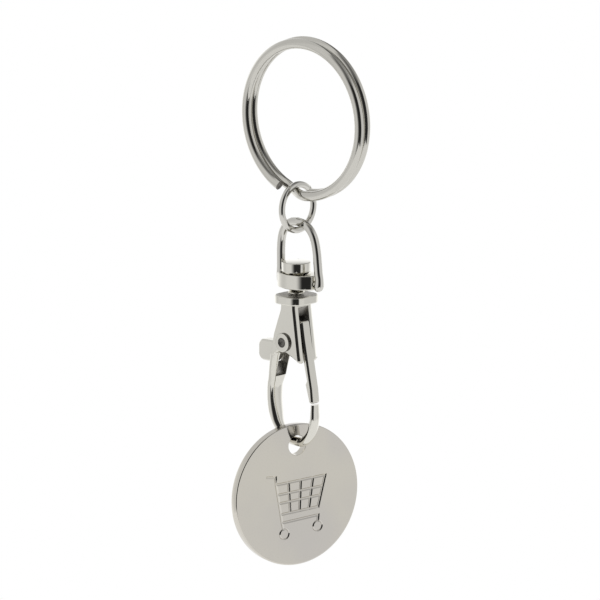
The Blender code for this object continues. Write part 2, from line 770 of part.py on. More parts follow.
def make_gate_spring(parts):
    """A folded leaf between the top of the slot and the shoulder of the lever."""
    line = hook_outline(SPRING_SHARES, closed=False)
    mesh = bpy.data.meshes.new("gate_spring")
    shape = bmesh.new()
    half = SPRING_WIDTH / 2
    rows = [[shape.verts.new((x, y, z)) for y in (-half, half)] for x, z in line]
    for (a, b), (d, c) in zip(rows, rows[1:]):
        shape.faces.new((a, b, c, d))
    shape.to_mesh(mesh)
    shape.free()
    spring = add_object("gate_spring", mesh, parts)
    solidify = spring.modifiers.new("thickness", "SOLIDIFY")
    solidify.thickness = SPRING_THICKNESS
    solidify.offset = 0.0
    return spring


def make_coin(parts, cutters):
    """The token, hanging edge down with the hook's bar through its hole."""
    radius = COIN_DIAMETER / 2
    half = COIN_THICKNESS / 2
    profile = [
        (0.0, half),
        (radius - COIN_CHAMFER, half),
        (radius, half - COIN_CHAMFER),
        (radius, COIN_CHAMFER - half),
        (radius - COIN_CHAMFER, -half),
        (0.0, -half),
    ]
    coin = turned("coin", profile, parts, sides=COIN_SIDES)
    hole_drop = radius - COIN_HOLE_WEB - COIN_HOLE_DIAMETER / 2
    turn = Matrix.Rotation(COIN_TURN, 4, "Z") @ Matrix.Rotation(math.radians(90.0), 4, "X")
    coin.matrix_world = Matrix.Translation((COIN_PIVOT_X, 0.0, COIN_CENTRE_Z)) @ turn
    hole = cylinder(
        "coin_hole",
        COIN_HOLE_DIAMETER / 2,
        COIN_THICKNESS + 2 * CUT_OVERRUN,
        (0.0, 0.0, 0.0),
        "Z",
        cutters,
        sides=ROUND_SIDES,
    )
    hole.matrix_world = Matrix.Translation((COIN_PIVOT_X, 0.0, COIN_CENTRE_Z + hole_drop)) @ turn
    boolean(coin, guide(hole), "DIFFERENCE")
    return coin


def main():
    """Build every piece of the keyring."""
    clear_scene()
    parts = new_collection("coin_holder_keyring")
    cutters = new_collection("cutters")
    finishes = {
        make_split_ring(parts, cutters): ((0.66, 0.65, 0.62), 0.12),
        make_jump_ring(parts): ((0.68, 0.67, 0.64), 0.1),
        make_bail(parts): ((0.68, 0.67, 0.64), 0.1),
        make_collar(parts, cutters): ((0.7, 0.69, 0.66), 0.1),
        make_swivel_rivet(parts): ((0.7, 0.69, 0.66), 0.1),
        make_hook_body(parts, cutters): ((0.7, 0.69, 0.66), 0.12),
        make_gate_lever(parts, cutters): ((0.7, 0.69, 0.66), 0.12),
        make_gate_rivet(parts): ((0.68, 0.67, 0.64), 0.14),
        make_gate_spring(parts): ((0.6, 0.6, 0.6), 0.2),
        make_coin(parts, cutters): ((0.66, 0.65, 0.61), 0.18),
    }
    joint_places = {
        "jump_ring": (LINK_X, 0.0, JUMP_PIVOT_Z),
        "bail": (LINK_X, 0.0, BAIL_PIVOT_Z),
        "swivel_collar": (0.0, 0.0, PIN_Z),
        "coin": (COIN_PIVOT_X, 0.0, COIN_PIVOT_Z),
    }
    for name, place in joint_places.items():
        hang_on_axis(parts.objects[name], place, parts)
    for piece, (colour, roughness) in finishes.items():
        piece.data.materials.append(metal(f"{piece.name} metal", colour, roughness))
        if piece.type == "MESH":
            smooth_rounds(piece)


if __name__ == "__main__":
    main()
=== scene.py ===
"""The looks of the coin holder keyring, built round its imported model.

Metres, +Z up. X lies in the plane of the hook and points to its gate, Y runs from front to back.
The origin is the point that the keyring hangs from, on the inner top of the split ring.
"""

import json
import math

import bpy
import numpy as np
from mathutils import Matrix, Vector
from numpy.linalg import norm


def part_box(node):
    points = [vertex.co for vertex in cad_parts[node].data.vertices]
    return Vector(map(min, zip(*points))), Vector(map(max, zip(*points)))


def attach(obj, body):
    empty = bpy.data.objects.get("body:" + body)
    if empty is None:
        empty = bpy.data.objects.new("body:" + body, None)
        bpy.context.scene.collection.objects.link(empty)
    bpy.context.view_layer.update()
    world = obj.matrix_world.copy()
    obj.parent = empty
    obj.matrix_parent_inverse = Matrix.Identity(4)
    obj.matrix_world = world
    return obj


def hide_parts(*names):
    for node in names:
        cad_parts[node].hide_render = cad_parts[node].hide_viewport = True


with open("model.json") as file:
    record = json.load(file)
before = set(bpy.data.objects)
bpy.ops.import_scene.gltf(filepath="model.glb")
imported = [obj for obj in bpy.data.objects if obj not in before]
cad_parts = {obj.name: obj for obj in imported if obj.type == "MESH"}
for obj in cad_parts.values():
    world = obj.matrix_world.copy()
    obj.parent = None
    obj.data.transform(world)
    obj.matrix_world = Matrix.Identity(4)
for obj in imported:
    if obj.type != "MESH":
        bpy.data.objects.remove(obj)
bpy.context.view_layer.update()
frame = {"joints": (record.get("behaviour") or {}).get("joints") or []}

bl_info = {
    "name": "Coin holder keyring",
    "version": (1, 0, 0),
    "blender": (4, 5, 0),
    "location": "3D View > Sidebar > Keyring",
    "description": "Builds a split ring, jump ring, swivel trigger hook and trolley token",
    "category": "Add Mesh",
}

MM = 0.001


def joint_vector(name, key):
    """A joint's place, pos_m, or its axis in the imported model."""
    return next(Vector(joint[key]) for joint in frame["joints"] if joint["name"] == name)


PIN_JOINT = joint_vector("bail_pivot", "pos_m")
GATE_JOINT = joint_vector("gate_pivot", "pos_m")
COIN_NORMAL = joint_vector("coin_swing", "axis").normalized()
HOOK_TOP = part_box("hook_body")[1].z
COLLAR_LOW, COLLAR_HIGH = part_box("swivel_collar")
RIVET_LOW, RIVET_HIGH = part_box("swivel_rivet")
RING_LOW, RING_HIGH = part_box("split_ring")
JUMP_LOW, JUMP_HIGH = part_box("jump_ring")
COIN_LOW, COIN_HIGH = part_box("coin")

# Split ring, round which the angles run from its lowest point, positive towards +X
RING_FAR_END = math.radians(2.0)
RING_JOG_START = math.radians(-22.0)
RING_JOG_END = math.radians(4.0)
RING_NEAR_END = math.radians(-24.0)
RING_CLIMB = 0.2 * MM
RING_POINTS_PER_TURN = 160
RING_SECTION_POINTS = 36
RING_SECTION_POWER = 1.12

# Swivel collar, its outline's arcs seen from above: centre and radius in millimetres, then the
# first and last angle and their step in degrees. The left ones are mirrored
COLLAR_RIGHT_ARCS = (
    ((-0.25, 3.244), 5.8, 0, 12, 3),
    ((0.245, 1.1), 3.6, 13, 61, 3),
    ((2.869, -0.354), 0.6, 65, 90, 5),
)
COLLAR_LEFT_ARCS = (
    ((1.636, -0.187), 2.1, 82, 22, -3),
    ((0.25, 3.244), 5.8, 21, 3, -3),
)
COLLAR_LEFT_REACH = 3.2 * MM
COLLAR_OFFSET = 0.55 * MM

# Hook and gate
FLANGE_THICKNESS = 1.3 * MM
SLOT_WIDTH = 2.42 * MM
BAR_THICKNESS = 1.2 * MM
BAR_DEPTH = 1.8 * MM
BAR_SECTION_POINTS = 40
GATE_HOLE_RADIUS = 0.85 * MM

# The bail's half outline above its elbow: share of its half span, share of its height
BAIL_SHARES = (
    (0.97, 0.19), (0.95, 0.36), (0.93, 0.51),
    (0.877, 0.67), (0.775, 0.8), (0.585, 0.91),
    (0.31, 0.978), (0.0, 1.0),
)

# Outlines in the plane of the hook: share of its width, share of its length below the flange,
# and corner radius as a share of the width
CHEEK_SHARES = (
    (-0.175, -0.035, 0.06), (-0.194, 0.045, 0.1), (-0.267, 0.126, 0.3),
    (-0.344, 0.216, 0.3), (-0.41, 0.345, 0.2), (-0.418, 0.39, 0.065),
    (-0.28, 0.39, 0.065), (-0.24, 0.357, 0.065), (-0.067, 0.353, 0.15),
    (0.082, 0.379, 0.3), (0.235, 0.413, 0.065), (0.28, 0.393, 0.065),
    (0.264, 0.36, 0.2), (0.21, 0.2, 0.5), (0.155, 0.036, 0.3),
    (0.148, -0.035, 0.06),
)
SLOT_SHARES = (
    (0.7, 0.021, 0.0), (0.15, 0.021, 0.03), (0.052, 0.101, 0.05),
    (-0.124, 0.113, 0.04), (-0.17, 0.143, 0.04), (-0.237, 0.212, 0.02),
    (-0.9, 0.212, 0.0), (-0.9, 0.4445, 0.0), (-0.448, 0.4445, 0.02),
    (-0.407, 0.533, 0.05), (0.7, 0.535, 0.0),
)
# The hook's bar: share of the width, share of the length, thickness and depth as shares of the
# bar's, and how its section's sides run: 0 is a rectangle, 1 an ellipse, more has sloping flats
BAR_SHARES = (
    (-0.289, 0.315, 1.4, 2.2, 0.5), (-0.35, 0.383, 1.45, 2.1, 0.5),
    (-0.395, 0.46, 1.42, 1.9, 0.5), (-0.422, 0.516, 1.42, 1.75, 0.54),
    (-0.45, 0.56, 1.45, 1.68, 0.72), (-0.478, 0.606, 1.42, 1.68, 0.86),
    (-0.487, 0.7, 1.5, 1.62, 0.95), (-0.457, 0.799, 1.62, 1.5, 1.05),
    (-0.388, 0.879, 1.38, 1.24, 1.2), (-0.24, 0.952, 1.14, 0.98, 1.2),
    (-0.05, 0.975, 1.24, 0.92, 1.1), (0.17, 0.968, 1.24, 0.95, 1.1),
    (0.345, 0.897, 1.12, 1.14, 1.1), (0.412, 0.8, 0.98, 1.14, 1.1),
    (0.42, 0.735, 0.88, 1.06, 1.15), (0.42, 0.692, 0.84, 1.0, 1.2),
)
LEVER_SHARES = (
    (-0.773, 0.293, 0.11), (-0.773, 0.439, 0.11), (-0.443, 0.439, 0.05),
    (-0.31, 0.375, 0.1), (-0.093, 0.353, 0.15), (0.103, 0.332, 0.1),
    (0.211, 0.358, 0.08), (0.309, 0.527, 0.03), (0.278, 0.553, 0.03),
    (0.366, 0.679, 0.03), (0.449, 0.684, 0.03), (0.425, 0.585, 0.3),
    (0.263, 0.246, 0.5), (0.211, 0.116, 0.05), (0.119, 0.122, 0.05),
    (0.031, 0.178, 0.1), (-0.103, 0.197, 0.1), (-0.247, 0.236, 0.1),
    (-0.371, 0.289, 0.08),
)
SPRING_SHARES = (
    (-0.115, 0.128, 0.0), (0.047, 0.12, 0.035),
    (0.047, 0.159, 0.035), (-0.18, 0.203, 0.0),
)

# How finely shapes are drawn
ARC_STEPS = 8
CROWN_STEPS = 8
RIM_SEGMENTS = 4
WIRE_SEGMENTS = 8
OUTLINE_STEP = 0.25 * MM
WELD = 0.0005 * MM
SMOOTH_ANGLE = math.radians(32.0)
WIRE_SMOOTH_ANGLE = math.radians(50.0)

FULL_TURN = 2 * math.pi
ALONG_X = (0.0, math.pi / 2, 0.0)
ALONG_Y = (math.pi / 2, 0.0, 0.0)


def length_setting(name, description, default):
    """A length that a user would change."""
    return bpy.props.FloatProperty(
        name=name, description=description, default=default, min=0.05 * MM, unit="LENGTH",
        precision=5,
    )


def colour_setting(name, description, default):
    """A colour that a user would change."""
    return bpy.props.FloatVectorProperty(
        name=name, description=description, default=default, min=0.0, max=1.0, size=3,
        subtype="COLOR",
    )


class KeyringSizes(bpy.types.PropertyGroup):
    """Sizes of the keyring that a user would change."""

    ring_diameter: length_setting("Split ring", "Outer diameter of the split ring", 26.0 * MM)
    ring_radial: length_setting("Ring wire width", "Radial width of the ring's wire", 1.64 * MM)
    ring_axial: length_setting("Ring wire thickness", "Thickness along the ring's axis", 1.47 * MM)
    ring_pitch: length_setting("Ring pitch", "Distance between the ring's two turns", 1.5 * MM)
    jump_wire: length_setting("Jump ring wire", "Diameter of the jump ring's wire", 1.08 * MM)
    bail_wire: length_setting("Bail wire", "Diameter of the bail's wire", 1.4 * MM)
    hook_width: length_setting("Hook width", "From the hook's arm to its tip", 9.7 * MM)
    hook_length: length_setting("Hook length", "From the flange to the hook's bottom", 23.35 * MM)
    coin_diameter: length_setting("Token", "Diameter of the token", 23.25 * MM)
    coin_thickness: length_setting("Token thickness", "Thickness of the token", 1.5 * MM)
    groove_width: length_setting("Groove width", "Width of the trolley's grooves", 0.5 * MM)


class KeyringFinish(bpy.types.PropertyGroup):
    """Colours of the keyring's finishes."""

    plating: colour_setting("Plating", "Plating of the hook and swivel", (0.73, 0.714, 0.655))
    ring: colour_setting("Ring", "Colour of the split ring's plated wire", (0.62, 0.606, 0.56))
    wire: colour_setting("Wire", "Wire of the jump ring and the bail", (0.65, 0.636, 0.595))
    token: colour_setting("Token", "Colour of the token's bright face", (0.67, 0.642, 0.575))
    spring: colour_setting("Spring", "Colour of the leaf spring's steel", (0.5, 0.5, 0.5))
    backdrop: colour_setting("Backdrop", "Colour of the floor and the background", (1.0, 1.0, 1.0))


# Shapes


def only(thing):
    """Make one object the active and only selected one."""
    bpy.ops.object.select_all(action="DESELECT")
    thing.select_set(True)
    bpy.context.view_layer.objects.active = thing


def added(operator, name, **settings):
    """Add an object with nothing else selected, and name it."""
    bpy.ops.object.select_all(action="DESELECT")
    operator(**settings)
    thing = bpy.context.object
    thing.name = name
    return thing


def settle(thing):
    """Apply an object's place and turn to its mesh."""
    only(thing)
    bpy.ops.object.transform_apply(location=True, rotation=True, scale=True)
    return thing


def edit_all():
    """Go into edit mode with all of the mesh selected."""
    bpy.ops.object.mode_set(mode="EDIT")
    bpy.ops.mesh.select_all(action="SELECT")


def clean(thing, weld=WELD):
    """Merge doubles and point the faces outwards."""
    only(thing)
    edit_all()
    bpy.ops.mesh.remove_doubles(threshold=weld)
    bpy.ops.mesh.delete_loose()
    bpy.ops.mesh.select_all(action="SELECT")
    bpy.ops.mesh.normals_make_consistent(inside=False)
    bpy.ops.object.mode_set(mode="OBJECT")
    return thing


def modify(thing, kind, **settings):
    """Add a modifier to an object and apply it."""
    only(thing)
    bpy.ops.object.modifier_add(type=kind)
    modifier = thing.modifiers[-1]
    for name, value in settings.items():
        setattr(modifier, name, value)
    bpy.ops.object.modifier_apply(modifier=modifier.name)
    return thing


def cut(thing, tool, operation="DIFFERENCE", crossing=False):
    """Cut an object by a tool, which may cross itself, or join them, and remove the tool."""
    modify(thing, "BOOLEAN", object=tool, operation=operation, solver="EXACT", use_self=crossing)
    bpy.data.objects.remove(tool, do_unlink=True)


def rounded_outline(corners, steps=ARC_STEPS, closed=True):
    """Points of a flat outline whose corners (u, v, radius) are rounded by arcs."""
    points = []
    count = len(corners)
    for i, (u, v, radius) in enumerate(corners):
        here = np.array([u, v])
        if radius <= 0 or (not closed and i in (0, count - 1)):
            points.append(here)
            continue
        before = np.array(corners[i - 1][:2]) - here
        after = np.array(corners[(i + 1) % count][:2]) - here
        reach = min(norm(before), norm(after)) / 2
        before /= norm(before)
        after /= norm(after)
        half = math.acos(np.clip(before @ after, -1.0, 1.0)) / 2
        tangent = min(radius / math.tan(half), reach)
        true_radius = tangent * math.tan(half)
        middle = (before + after) / norm(before + after)
        centre = here + middle * true_radius / math.sin(half)
        start = here + before * tangent - centre
        end = here + after * tangent - centre
        turn = math.atan2(start[0] * end[1] - start[1] * end[0], start @ end)
        for step in range(steps + 1):
            angle = turn * step / steps
            cos, sin = math.cos(angle), math.sin(angle)
            x, z = start
            points.append(centre + (x * cos - z * sin, x * sin + z * cos))
    return points


def smooth_path(stations, steps):
    """A smooth curve through stations of any number of values, with a few steps in each span."""
    values = np.array(stations, dtype=float)
    padded = np.vstack([2 * values[0] - values[1], values, 2 * values[-1] - values[-2]])
    path = []
    for a, b, c, d in zip(padded, padded[1:], padded[2:], padded[3:]):
        for t in np.arange(steps) / steps:
            path.append(
                b * (2 * t**3 - 3 * t**2 + 1)
                + c * (3 * t**2 - 2 * t**3)
                + (c - a) / 2 * (t**3 - 2 * t**2 + t)
                + (d - b) / 2 * (t**3 - t**2)
            )
    path.append(values[-1])
    return np.array(path)


def poly_curve(name, points, closed=False, flat=False):
    """A curve object of one straight-sided spline."""
    thing = added(bpy.ops.curve.primitive_nurbs_path_add, name, radius=MM)
    thing.data.dimensions = "2D" if flat else "3D"
    thing.data.splines.clear()
    spline = thing.data.splines.new("POLY")
    spline.points.add(len(points) - 1)
    for point, place in zip(spline.points, points):
        point.co = (place[0], place[1], place[2] if len(place) > 2 else 0.0, 1.0)
    spline.use_cyclic_u = closed
    return thing


def plate(name, outline, depth, rounding=0.0):
    """A plate of a flat outline in the XZ plane, centred on Y = 0, with rounded rims."""
    thing = poly_curve(name, outline, closed=True, flat=True)
    thing.data.fill_mode = "BOTH"
    thing.data.extrude = depth / 2 - rounding
    if rounding:
        thing.data.bevel_depth = rounding
        thing.data.bevel_resolution = RIM_SEGMENTS
        thing.data.offset = -rounding
    thing.rotation_euler = ALONG_Y
    only(thing)
    bpy.ops.object.convert(target="MESH")
    return clean(settle(thing))


def arc_points(centre, radius, first, last, step):
    """Points of an arc in millimetres, at angles from -Y towards +X in degrees."""
    return [
        ((centre[0] + radius * math.sin(t)) * MM, (centre[1] - radius * math.cos(t)) * MM)
        for t in np.radians(np.arange(first, last + step / 2, step))
    ]


def inset_outline(points, amount, radii):
    """An outline drawn in by an amount, but by less at corners that are too tight for it."""
    longest_share, deepest_share = 1.6, 0.85
    points = np.array(points)
    before = points - np.roll(points, 1, axis=0)
    after = np.roll(points, -1, axis=0) - points
    before /= norm(before, axis=1)[:, None]
    after /= norm(after, axis=1)[:, None]
    x, z = points.T
    turn = 1.0 if np.sum(x * np.roll(z, -1) - z * np.roll(x, -1)) > 0 else -1.0
    normal = np.column_stack([-(before + after)[:, 1], (before + after)[:, 0]]) * turn
    length = norm(normal, axis=1)[:, None]
    normal = normal / length * np.minimum(2 / length, longest_share)
    reach = np.minimum(amount, deepest_share * np.array(radii))
    return points + normal * reach[:, None]


def dense_outline(corners):
    """A rounded outline with extra points along its straights, and the radius free at each.

    That radius is the corner's own, and grows with the distance from it along a straight.
    """
    growth = 0.9
    arcs = []
    for i, corner in enumerate(corners):
        before, after = corners[i - 1], corners[(i + 1) % len(corners)]
        trio = [(*before[:2], 0.0), corner, (*after[:2], 0.0)]
        arc = rounded_outline(trio, closed=False)[1:-1]
        u = np.array(corner[:2]) - np.array(before[:2])
        v = np.array(after[:2]) - np.array(corner[:2])
        turn = math.atan2(u[0] * v[1] - u[1] * v[0], u @ v)
        radius = 0.0
        if len(arc) > 1:
            radius = norm(arc[1] - arc[0]) / abs(2 * math.sin(turn / 2 / ARC_STEPS))
        arcs.append((arc, turn, radius))
    way = math.copysign(1.0, sum(turn for _, turn, _ in arcs))
    free = [radius if turn * way > 0 else math.inf for _, turn, radius in arcs]
    points, radii = [], []
    for i, (arc, _, _) in enumerate(arcs):
        following = (i + 1) % len(arcs)
        points += arc
        radii += [free[i]] * len(arc)
        last, first = arc[-1], arcs[following][0][0]
        length = norm(first - last)
        count = int(length / OUTLINE_STEP)
        for k in range(1, count + 1):
            share = k / (count + 1)
            points.append(last + (first - last) * share)
            radii.append(min(
                free[i] + growth * length * share, free[following] + growth * length * (1 - share)
            ))
    return points, radii


def crowned_plate(name, corners, depth, radius, start, end):
    """A plate in the XZ plane whose rims are arcs that turn from one slope to another.

    A slope is the rim's angle from the plate's faces: 0 is a face and 90 the square side.
    """
    outline, radii = dense_outline(corners)
    low, high = math.radians(start), math.radians(end)
    levels = []
    for angle in np.linspace(low, high, CROWN_STEPS + 1):
        inset = radius * (math.sin(high) - math.sin(angle))
        fall = radius * (math.cos(low) - math.cos(angle))
        levels.append((depth / 2 - fall, inset))
    levels += [(-y, inset) for y, inset in reversed(levels)]
    rings = [[(u, y, v) for u, v in inset_outline(outline, inset, radii)] for y, inset in levels]
    return loft(name, rings)


def power_section(count, width, depth, power, first=0.0):
    """Points of a closed section: power 0 is a rectangle, 1 an ellipse, more has sloping flats."""
    points = []
    for i in range(count):
        angle = FULL_TURN * (i + first) / count
        cos, sin = math.cos(angle), math.sin(angle)
        points.append((
            math.copysign(abs(cos) ** power, cos) * width / 2,
            math.copysign(abs(sin) ** power, sin) * depth / 2,
        ))
    return points


def wire(name, points, radius, factors=None, section=None):
    """A wire along points, round or of a given section, with closed ends."""
    thing = poly_curve(name, points)
    if factors is not None:
        for point, factor in zip(thing.data.splines[0].points, factors):
            point.radius = factor
    if section is None:
        thing.data.bevel_depth = radius
        thing.data.bevel_resolution = WIRE_SEGMENTS
    else:
        thing.data.bevel_mode = "OBJECT"
        thing.data.bevel_object = section
        thing.data.twist_mode = "Z_UP"
    thing.data.use_fill_caps = True
    only(thing)
    bpy.ops.object.convert(target="MESH")
    if section is not None:
        bpy.data.objects.remove(section, do_unlink=True)
    return clean(thing)


def turned(name, profile, steps=96):
    """A turned shape round Z: a chain of (radius, height) points, spun once round."""
    thing = added(bpy.ops.mesh.primitive_circle_add, name, vertices=len(profile), radius=MM)
    for vertex, (radius, height) in zip(thing.data.vertices, profile):
        vertex.co = (radius, 0.0, height)
    edit_all()
    bpy.ops.mesh.spin(
        steps=steps, angle=FULL_TURN, center=(0, 0, 0), axis=(0, 0, 1), use_auto_merge=True
    )
    bpy.ops.object.mode_set(mode="OBJECT")
    return clean(thing)


def rounded_profile(corners, steps=4):
    """A closed turned profile whose corners (radius, height, rounding) are rounded."""
    return [tuple(p) for p in rounded_outline(corners, steps)]


def loft(name, rings):
    """A closed solid through rings of points, shaped from a grid whose sides are joined."""
    count = len(rings[0])
    thing = added(
        bpy.ops.mesh.primitive_grid_add, name, x_subdivisions=count,
        y_subdivisions=len(rings) - 1, size=MM,
    )
    for i, vertex in enumerate(thing.data.vertices):
        ring, along = divmod(i, count + 1)
        vertex.co = rings[ring][along % count]
    edit_all()
    bpy.ops.mesh.remove_doubles(threshold=WELD)
    bpy.ops.mesh.fill_holes(sides=0)
    bpy.ops.object.mode_set(mode="OBJECT")
    modify(thing, "TRIANGULATE", min_vertices=5)
    return clean(thing)


def drill(thing, radius, length, place, turn=(0.0, 0.0, 0.0)):
    """Cut a round hole by a rod centred on a place."""
    cut(thing, settle(added(
        bpy.ops.mesh.primitive_cylinder_add, "drill", vertices=64, radius=radius, depth=length,
        location=place, rotation=turn,
    )))


def finish_piece(thing, body, slot, material, *nodes, angle=SMOOTH_ANGLE, weighted=False,
                 other=None, takes_other=None):
    """Shade a piece, give it its material, and hand it to the body and nodes that it stands for.

    Faces that a test picks get another material.
    """
    only(thing)
    bpy.ops.object.shade_smooth_by_angle(angle=angle)
    if weighted:
        modify(thing, "WEIGHTED_NORMAL", keep_sharp=True, weight=50)
    thing.data.materials.clear()
    thing.data.materials.append(material)
    if other:
        thing.data.materials.append(other)
        for face in thing.data.polygons:
            face.material_index = int(takes_other(face))
    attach(thing, body)
    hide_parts(*nodes)


# Materials

# Plating: how fine its haze, waves and grain are per metre, how its polishing lines are drawn out
# and turned, the noise from none to full of each, and how high grain and lines stand
HAZE_SCALE, WAVE_SCALE, GRAIN_SCALE = 420.0, 260.0, 2600.0
LINE_STRETCH, LINE_TURN = (2200.0, 2200.0, 160.0), (0.5, 0.3, 0.2)
CLOUD_NOISE, LINE_NOISE, HAZE_NOISE = (0.35, 0.68), (0.5, 0.75), (0.4, 0.75)
GRAIN_HEIGHT, LINE_HEIGHT = 0.02, 0.4
RELIEF = 0.02 * MM
CLOUD_COLOUR_SHARE = 0.93

# A mix node's sockets for its two values, and its output
MIX_SOCKETS = {"FLOAT": (2, 3, 0), "RGBA": (6, 7, 2)}


def feed(tree, socket, value):
    """Set a node's input to a value, or link another node's output to it."""
    if isinstance(value, bpy.types.NodeSocket):
        tree.links.new(value, socket)
    else:
        socket.default_value = value


def math_node(tree, operation, *values):
    """The output of a math node."""
    node = tree.nodes.new("ShaderNodeMath")
    node.operation = operation
    for socket, value in zip(node.inputs, values):
        feed(tree, socket, value)
    return node.outputs[0]


def step_node(tree, value, low, high, before=0.0, after=1.0):
    """A smooth step between two values, as another goes from low to high."""
    node = tree.nodes.new("ShaderNodeMapRange")
    node.interpolation_type = "SMOOTHSTEP"
    names = ("Value", "From Min", "From Max", "To Min", "To Max")
    for name, number in zip(names, (value, low, high, before, after)):
        feed(tree, node.inputs[name], number)
    return node.outputs["Result"]


def mix_node(tree, kind, share, first, second):
    """A mix of two numbers or colours."""
    node = tree.nodes.new("ShaderNodeMix")
    node.data_type = kind
    a, b, out = MIX_SOCKETS[kind]
    for i, value in ((0, share), (a, first), (b, second)):
        feed(tree, node.inputs[i], value)
    return node.outputs[out]


def plating_group():
    """Bright plating: slight clouding of colour, haze, polishing lines and a gentle waviness."""
    group = bpy.data.node_groups.get("Plating")
    if group:
        return group
    group = bpy.data.node_groups.new("Plating", "ShaderNodeTree")
    for in_out, kind, names in (
        ("INPUT", "NodeSocketColor", ("Colour", "Cloud colour")),
        ("INPUT", "NodeSocketFloat", ("Clouding", "Cloud scale", "Roughness", "Haze")),
        ("INPUT", "NodeSocketFloat", ("Lines", "Waviness")),
        ("OUTPUT", "NodeSocketColor", ("Colour",)),
        ("OUTPUT", "NodeSocketFloat", ("Roughness", "Height")),
    ):
        for name in names:
            group.interface.new_socket(name=name, in_out=in_out, socket_type=kind)
    start = group.nodes.new("NodeGroupInput").outputs
    end = group.nodes.new("NodeGroupOutput").inputs
    where = group.nodes.new("ShaderNodeTexCoord").outputs["Object"]

    def noise(scale, detail, vector=where):
        node = group.nodes.new("ShaderNodeTexNoise")
        for name, value in (("Vector", vector), ("Scale", scale), ("Detail", detail)):
            feed(group, node.inputs[name], value)
        return node.outputs["Fac"]

    def times(a, b):
        return math_node(group, "MULTIPLY", a, b)

    def plus(a, b):
        return math_node(group, "ADD", a, b)

    clouds = times(
        step_node(group, noise(start["Cloud scale"], 3.0), *CLOUD_NOISE), start["Clouding"]
    )
    mixed = mix_node(group, "RGBA", clouds, start["Colour"], start["Cloud colour"])
    feed(group, end["Colour"], mixed)

    stretch = group.nodes.new("ShaderNodeMapping")
    for name, value in (("Scale", LINE_STRETCH), ("Rotation", LINE_TURN), ("Vector", where)):
        feed(group, stretch.inputs[name], value)
    lines = step_node(group, noise(1.0, 2.0, stretch.outputs["Vector"]), *LINE_NOISE)
    haze = step_node(group, noise(HAZE_SCALE, 4.0), *HAZE_NOISE)
    rough = plus(times(haze, start["Haze"]), times(lines, start["Lines"]))
    feed(group, end["Roughness"], plus(rough, start["Roughness"]))

    waves = times(noise(WAVE_SCALE, 1.0), start["Waviness"])
    grain = times(noise(GRAIN_SCALE, 2.0), GRAIN_HEIGHT)
    grooves = times(lines, times(start["Lines"], LINE_HEIGHT))
    feed(group, end["Height"], plus(plus(waves, grain), grooves))
    return group


def plated(name, colour, clouding=0.3, cloud_scale=150.0, roughness=0.07, haze=0.05, lines=0.05,
           waviness=0.3, cloud_colour=None):
    """A plated metal material of the shared plating group."""
    material = bpy.data.materials.new(name)
    material.use_nodes = True
    tree = material.node_tree
    shader = tree.nodes["Principled BSDF"].inputs
    shader["Metallic"].default_value = 1.0
    group = tree.nodes.new("ShaderNodeGroup")
    group.node_tree = plating_group()
    cloud_colour = cloud_colour or [c * CLOUD_COLOUR_SHARE for c in colour]
    values = {
        "Colour": (*colour, 1.0), "Cloud colour": (*cloud_colour, 1.0), "Clouding": clouding,
        "Cloud scale": cloud_scale, "Roughness": roughness, "Haze": haze, "Lines": lines,
        "Waviness": waviness,
    }
    for key, value in values.items():
        group.inputs[key].default_value = value
    relief = tree.nodes.new("ShaderNodeBump")
    relief.inputs["Distance"].default_value = RELIEF
    feed(tree, relief.inputs["Height"], group.outputs["Height"])
    feed(tree, shader["Base Color"], group.outputs["Colour"])
    feed(tree, shader["Roughness"], group.outputs["Roughness"])
    feed(tree, shader["Normal"], relief.outputs["Normal"])
    return material


# Pieces


def hook_point(width_share, length_share):
    """A place in the plane of the hook."""
    sizes = bpy.context.scene.keyring_sizes
    drop = FLANGE_THICKNESS + length_share * sizes.hook_length
    return width_share * sizes.hook_width, HOOK_TOP - drop


def hook_corners(shares):
    """Corners in the plane of the hook, with their radii."""
    width = bpy.context.scene.keyring_sizes.hook_width
    return [(*hook_point(u, v), radius * width) for u, v, radius in shares]


def hook_outline(shares, steps=ARC_STEPS, closed=True):
    """A rounded outline in the plane of the hook."""
    return rounded_outline(hook_corners(shares), steps, closed)


def is_cut_end(face):
    """Whether a face closes a wire's cut end: only these are triangles."""
    return len(face.vertices) == 3


